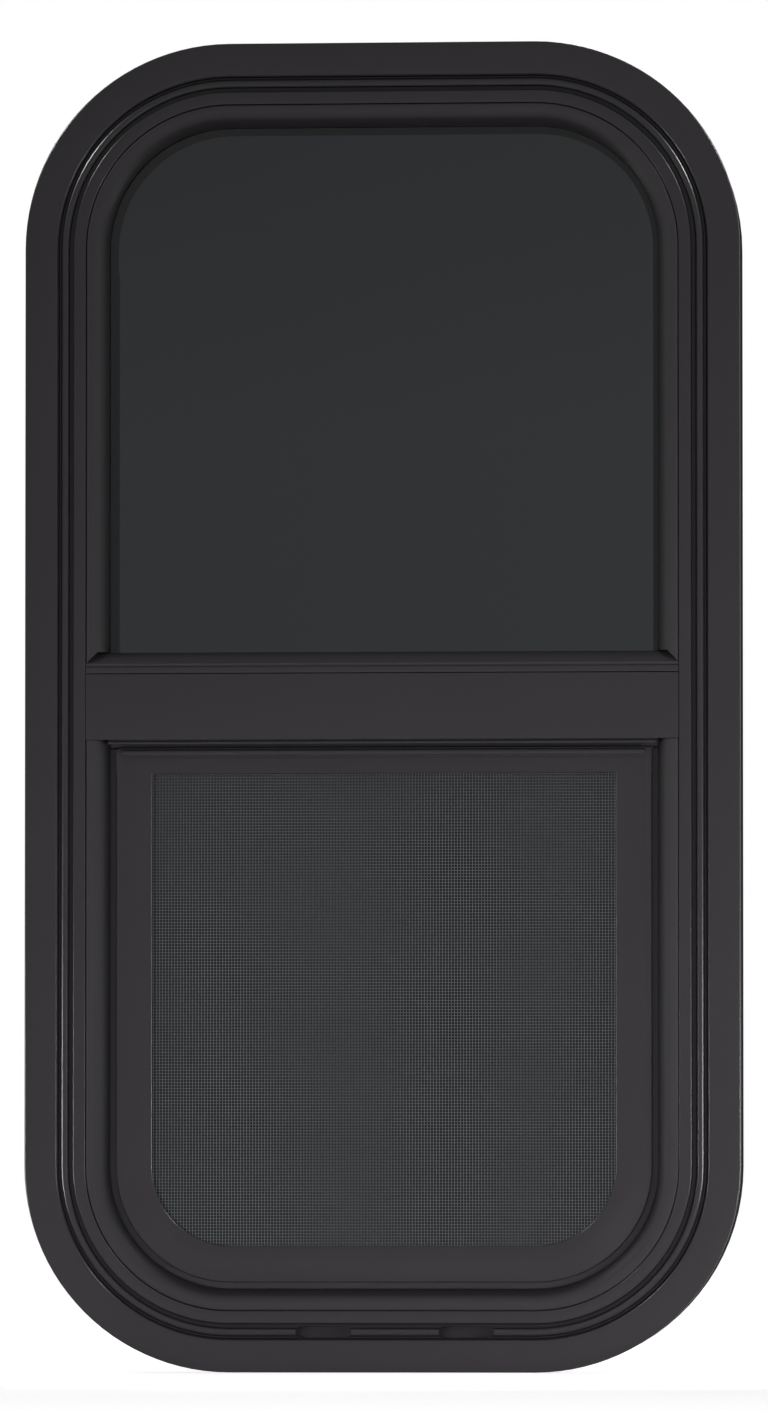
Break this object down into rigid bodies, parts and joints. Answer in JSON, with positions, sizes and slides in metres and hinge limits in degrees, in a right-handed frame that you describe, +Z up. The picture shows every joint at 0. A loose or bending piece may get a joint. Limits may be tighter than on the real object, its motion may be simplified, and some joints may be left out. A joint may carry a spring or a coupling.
{
  "type": "vertical sliding window",
  "caption": "Camper window with rounded corners: a fixed tinted pane above a middle rail, a fly screen below with a sliding glass sash behind it, and a clamp ring for the inside of the wall.",
  "frame": {"origin": "on the back face of the outside flange, at the middle of the flange's bottom edge, so that y = 0 is the outer skin of the wall", "axes": "+X to the right seen from outside, +Y through the wall to the inside, +Z up"},
  "size_m": [0.356, 0.0428, 0.66],
  "materials": {
    "black_frame": "satin black powder coat",
    "black_rubber": "smooth black rubber",
    "tinted_glass": "dark grey tint",
    "screen_mesh": "black woven mesh",
    "black_pile": "woven pile",
    "black_plastic": "fine moulded grain"
  },
  "bodies": {
    "root": {"outer_frame": "black_frame", "upper_glazing_seal": "black_rubber", "screen_surround_seal": "black_rubber", "sill_bead": "black_frame", "fixed_pane": "tinted_glass", "mid_rail": "black_frame", "meeting_pile": "black_pile", "screen_frame": "black_frame", "screen_mesh": "screen_mesh", "screen_spline": "black_rubber", "sash_glass": "tinted_glass", "sash_rail": "black_frame", "sash_run_channel": "black_rubber", "latch_body_left": "black_plastic", "latch_body_right": "black_plastic", "latch_bolt_left": "black_plastic", "latch_bolt_right": "black_plastic", "latch_strip_left": "black_plastic", "latch_strip_right": "black_plastic", "clamp_ring": "black_frame"}
  },
  "joints": []
}
